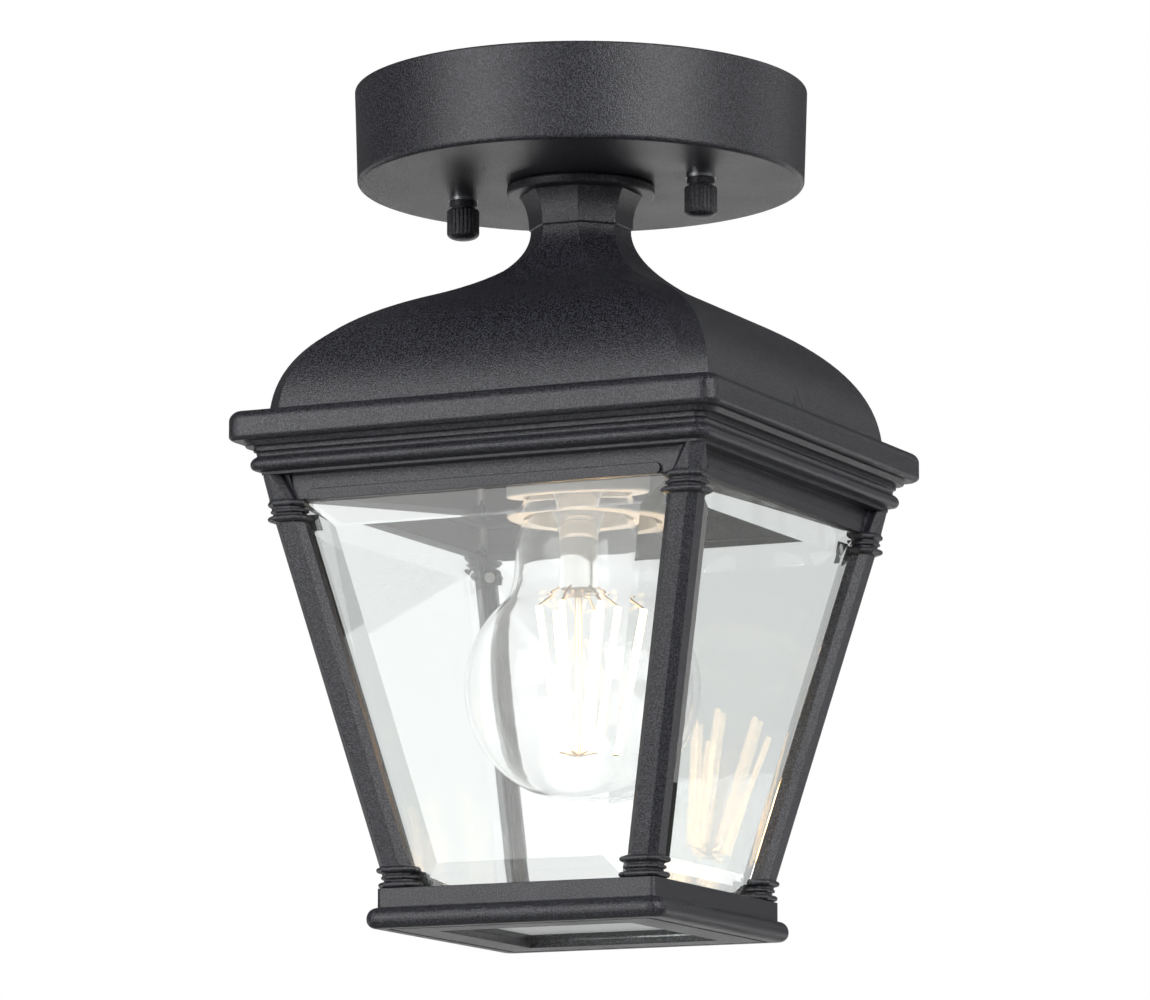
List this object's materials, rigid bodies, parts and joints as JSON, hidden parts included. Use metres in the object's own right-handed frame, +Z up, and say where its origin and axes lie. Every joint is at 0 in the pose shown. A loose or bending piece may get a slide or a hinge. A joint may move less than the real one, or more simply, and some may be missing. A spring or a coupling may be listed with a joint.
{
  "type": "porch ceiling lantern",
  "caption": "Square tapering porch lantern close under a round ceiling canopy, with an ogee roof, moulded cornice, leaning corner posts, bevelled clear panes and a hinged glazed bottom.",
  "frame": {"origin": "on the lantern's axis in the plane of the ceiling, where the canopy rim and the crossbar rest", "axes": "+Z up into the ceiling, +X along the crossbar through both cap nuts, -Y towards the front pane; the door is hinged at the back (+Y)"},
  "size_m": [0.1394, 0.1394, 0.2254],
  "materials": {
    "powder_black": "matt black powder coat with a fine sand texture",
    "clear_pane": "clear float glass, polished bevel, green at the cut edges",
    "zinc_steel": "bright zinc plating",
    "green_screw": "green plated screw",
    "plate_grey": "matt powder coat, dark grey",
    "bright_clip": "bright spring steel",
    "magnet": "nickel-plated magnet",
    "contact_brass": "plain pressed brass",
    "holder_moulding": "moulded, slightly glossy",
    "lamp_glass": "thin clear blown glass",
    "lamp_cap": "nickel-plated pressed cap",
    "lamp_insulator": "black vitrified glass",
    "filament": "coated filament sticks, lit warm white",
    "support_wire": "bright nickel wire",
    "lead_black": "satin sleeve",
    "lead_white": "satin sleeve",
    "lead_green": "satin sleeve",
    "connector": "moulded orange plastic"
  },
  "bodies": {
    "lantern": {"canopy": "powder_black", "neck_collar": "powder_black", "roof": "powder_black", "top_frame": "powder_black", "post_front_left": "powder_black", "post_front_right": "powder_black", "post_back_left": "powder_black", "post_back_right": "powder_black", "base_frame": "powder_black", "glass_front": "clear_pane", "glass_back": "clear_pane", "glass_left": "clear_pane", "glass_right": "clear_pane", "crossbar": "zinc_steel", "canopy_studs": "zinc_steel", "stud_lock_nuts": "zinc_steel", "cap_washers": "zinc_steel", "nipple_lock_washer": "zinc_steel", "canopy_nut": "zinc_steel", "roof_washer": "zinc_steel", "roof_nut": "zinc_steel", "roof_screws": "zinc_steel", "post_top_screws": "zinc_steel", "post_bottom_screws": "zinc_steel", "clip_screws": "zinc_steel", "socket_plate_screws": "zinc_steel", "lampholder_screws": "zinc_steel", "nipple": "zinc_steel", "ground_screw": "green_screw", "socket_plate": "plate_grey", "glass_clips_top": "bright_clip", "glass_clips_bottom": "bright_clip", "catch_magnet": "magnet", "earth_ring": "contact_brass", "terminal_screws": "contact_brass", "lampholder_shell": "contact_brass", "lampholder_tongue": "contact_brass", "lampholder": "holder_moulding", "lead_live": "lead_black", "lead_neutral": "lead_white", "earth_lead": "lead_green", "wire_connectors": "connector"},
    "cap_nut_left_body": {"cap_nut_left": "powder_black"},
    "cap_nut_right_body": {"cap_nut_right": "powder_black"},
    "lamp": {"bulb_glass": "lamp_glass", "bulb_cap": "lamp_cap", "bulb_insulator": "lamp_insulator", "bulb_contact": "lamp_cap", "bulb_stem": "lamp_glass", "bulb_support_wires": "support_wire", "bulb_filaments": "filament"},
    "door": {"bottom_frame": "powder_black", "bottom_glass": "clear_pane", "bottom_glass_clips": "bright_clip", "door_pins": "zinc_steel"}
  },
  "joints": [
    {"name": "cap_nut_left_turn", "type": "hinge", "parent": "lantern", "child": "cap_nut_left_body", "pos_m": [-0.035, 0, -0.03], "axis": [0, 0, 1], "continuous": true},
    {"name": "cap_nut_right_turn", "type": "hinge", "parent": "lantern", "child": "cap_nut_right_body", "pos_m": [0.035, 0, -0.03], "axis": [0, 0, 1], "continuous": true},
    {"name": "lamp_turn", "type": "hinge", "parent": "lantern", "child": "lamp", "pos_m": [0, 0, -0.1], "axis": [0, 0, 1], "continuous": true},
    {"name": "door_hinge", "type": "hinge", "parent": "lantern", "child": "door", "pos_m": [0, 0.035, -0.2236], "axis": [1, 0, 0], "range_deg": [0, 100]}
  ]
}
